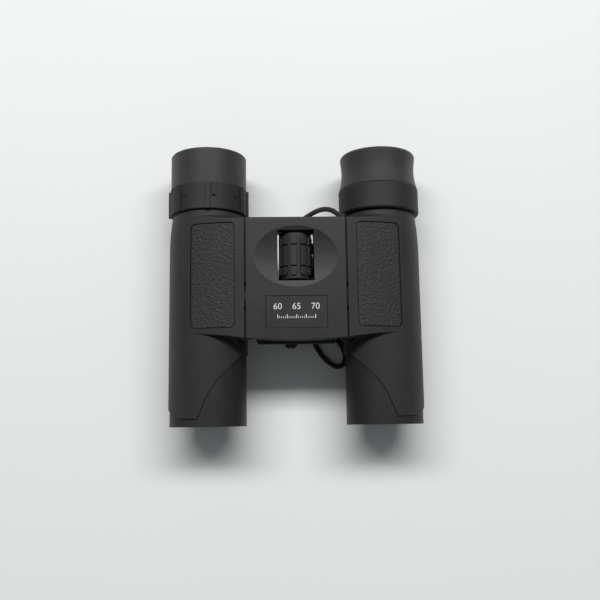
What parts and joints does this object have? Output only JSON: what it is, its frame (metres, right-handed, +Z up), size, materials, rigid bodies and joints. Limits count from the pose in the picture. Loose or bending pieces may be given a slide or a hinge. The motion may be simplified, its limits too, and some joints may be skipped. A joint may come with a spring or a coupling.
{
  "type": "folding binoculars",
  "caption": "Compact double-hinge roof-prism binoculars with a centre focus wheel, a dioptre ring, armoured barrels that fold in under the bridge, and a thin carrying cord.",
  "frame": {"origin": "on the surface it rests on, under the middle of the object's box without its cord", "axes": "+Y from the objectives to the eyepieces, +Z up with the focus wheel on top, +X across from the dioptre barrel to the other"},
  "size_m": [0.105, 0.1124, 0.0355],
  "materials": {
    "housing_plastic": "fine satin moulded plastic",
    "armour_rubber": "matt soft-touch rubber",
    "grip_rubber": "leather-grained rubber",
    "inner_black": "matt black",
    "lens_glass": "coated clear glass",
    "prism_glass": "polished glass",
    "steel": "fine turned steel",
    "eyecup_rubber": "smooth matt rubber",
    "ring_plastic": "finely textured plastic",
    "bridge_plastic": "satin moulded plastic",
    "label_print": "satin with white scale print",
    "bronze": "sintered bronze",
    "wheel_plastic": "satin black",
    "wheel_rubber": "matt rubber",
    "cord_fabric": "braided black cord",
    "tie_plastic": "matt black"
  },
  "bodies": {
    "bridge": {"bridge_frame": "bridge_plastic", "bridge_top_cover": "bridge_plastic", "bridge_bottom_cover": "bridge_plastic", "label_plate": "label_print", "bottom_cover_screws": "steel", "hinge_washers": "steel", "spindle_bushes": "bronze", "left_hinge_pin": "steel", "right_hinge_pin": "steel", "lug_cord": "cord_fabric", "neck_cord": "cord_fabric", "cord_connector": "tie_plastic", "cord_hank": "cord_fabric", "cord_tie": "tie_plastic", "cord_knot": "cord_fabric"},
    "focus_wheel": {"focus_spindle": "steel", "wheel_core": "wheel_plastic", "wheel_grip": "wheel_rubber"},
    "focus_carriage": {"focus_carriage": "inner_black", "carriage_clips": "steel"},
    "left_barrel": {"left_barrel_housing": "housing_plastic", "left_rubber_armour": "armour_rubber", "left_grip_panel": "grip_rubber", "left_front_ring": "inner_black", "left_prism_holder": "inner_black", "left_half_prism": "prism_glass", "left_roof_prism": "prism_glass", "left_prism_clip": "steel"},
    "right_barrel": {"right_barrel_housing": "housing_plastic", "right_rubber_armour": "armour_rubber", "right_grip_panel": "grip_rubber", "right_front_ring": "inner_black", "right_prism_holder": "inner_black", "right_half_prism": "prism_glass", "right_roof_prism": "prism_glass", "right_prism_clip": "steel", "right_eyepiece_tube": "inner_black", "right_field_lens": "lens_glass", "right_eye_lens": "lens_glass", "right_eye_lens_retainer": "inner_black", "right_eyecup": "eyecup_rubber", "right_collar": "ring_plastic", "strap_lug": "bridge_plastic", "lug_knot": "cord_fabric"},
    "left_cell": {"left_objective_cell": "inner_black", "left_focus_arm": "steel", "left_objective_lens_front": "lens_glass", "left_objective_lens_rear": "lens_glass", "left_objective_retainer": "inner_black"},
    "right_cell": {"right_objective_cell": "inner_black", "right_focus_arm": "steel", "right_objective_lens_front": "lens_glass", "right_objective_lens_rear": "lens_glass", "right_objective_retainer": "inner_black"},
    "dioptre_ring": {"dioptre_ring": "ring_plastic"},
    "left_eyepiece": {"left_eyepiece_tube": "inner_black", "left_field_lens": "lens_glass", "left_eye_lens": "lens_glass", "left_eye_lens_retainer": "inner_black", "left_eyecup": "eyecup_rubber"}
  },
  "joints": [
    {"name": "left_fold", "type": "hinge", "parent": "bridge", "child": "left_barrel", "pos_m": [-0.0201, 0, 0.0306], "axis": [0, -1, 0], "range_deg": [0, 50]},
    {"name": "right_fold", "type": "hinge", "parent": "bridge", "child": "right_barrel", "pos_m": [0.0201, 0, 0.0306], "axis": [0, 1, 0], "range_deg": [0, 50], "deforming": ["lug_cord", "neck_cord", "cord_hank", "cord_tie"]},
    {"name": "focus_turn", "type": "hinge", "parent": "bridge", "child": "focus_wheel", "pos_m": [0, 0.0104, 0.0288], "axis": [0, 1, 0], "range_deg": [-216.1, 216.1]},
    {"name": "carriage_slide", "type": "slide", "parent": "bridge", "child": "focus_carriage", "axis": [0, 1, 0], "range_m": [-0.0018, 0.0018]},
    {"name": "left_cell_slide", "type": "slide", "parent": "left_barrel", "child": "left_cell", "axis": [0, 1, 0], "range_m": [-0.00181, 0.00181]},
    {"name": "right_cell_slide", "type": "slide", "parent": "right_barrel", "child": "right_cell", "axis": [0, 1, 0], "range_m": [-0.00181, 0.00181]},
    {"name": "dioptre_turn", "type": "hinge", "parent": "left_barrel", "child": "dioptre_ring", "pos_m": [-0.0358, 0.036, 0.0167], "axis": [0, 1, 0], "range_deg": [-60.1, 60.1]},
    {"name": "dioptre_slide", "type": "slide", "parent": "left_barrel", "child": "left_eyepiece", "axis": [0, 1, 0], "range_m": [-0.0008, 0.0008]}
  ],
  "couplings": [
    {"joint": "focus_turn", "follows": "carriage_slide", "rad_per_m": 2094.4},
    {"joint": "left_cell_slide", "follows": "carriage_slide", "ratio": 1},
    {"joint": "right_cell_slide", "follows": "carriage_slide", "ratio": 1},
    {"joint": "dioptre_turn", "follows": "dioptre_slide", "rad_per_m": 1309}
  ]
}
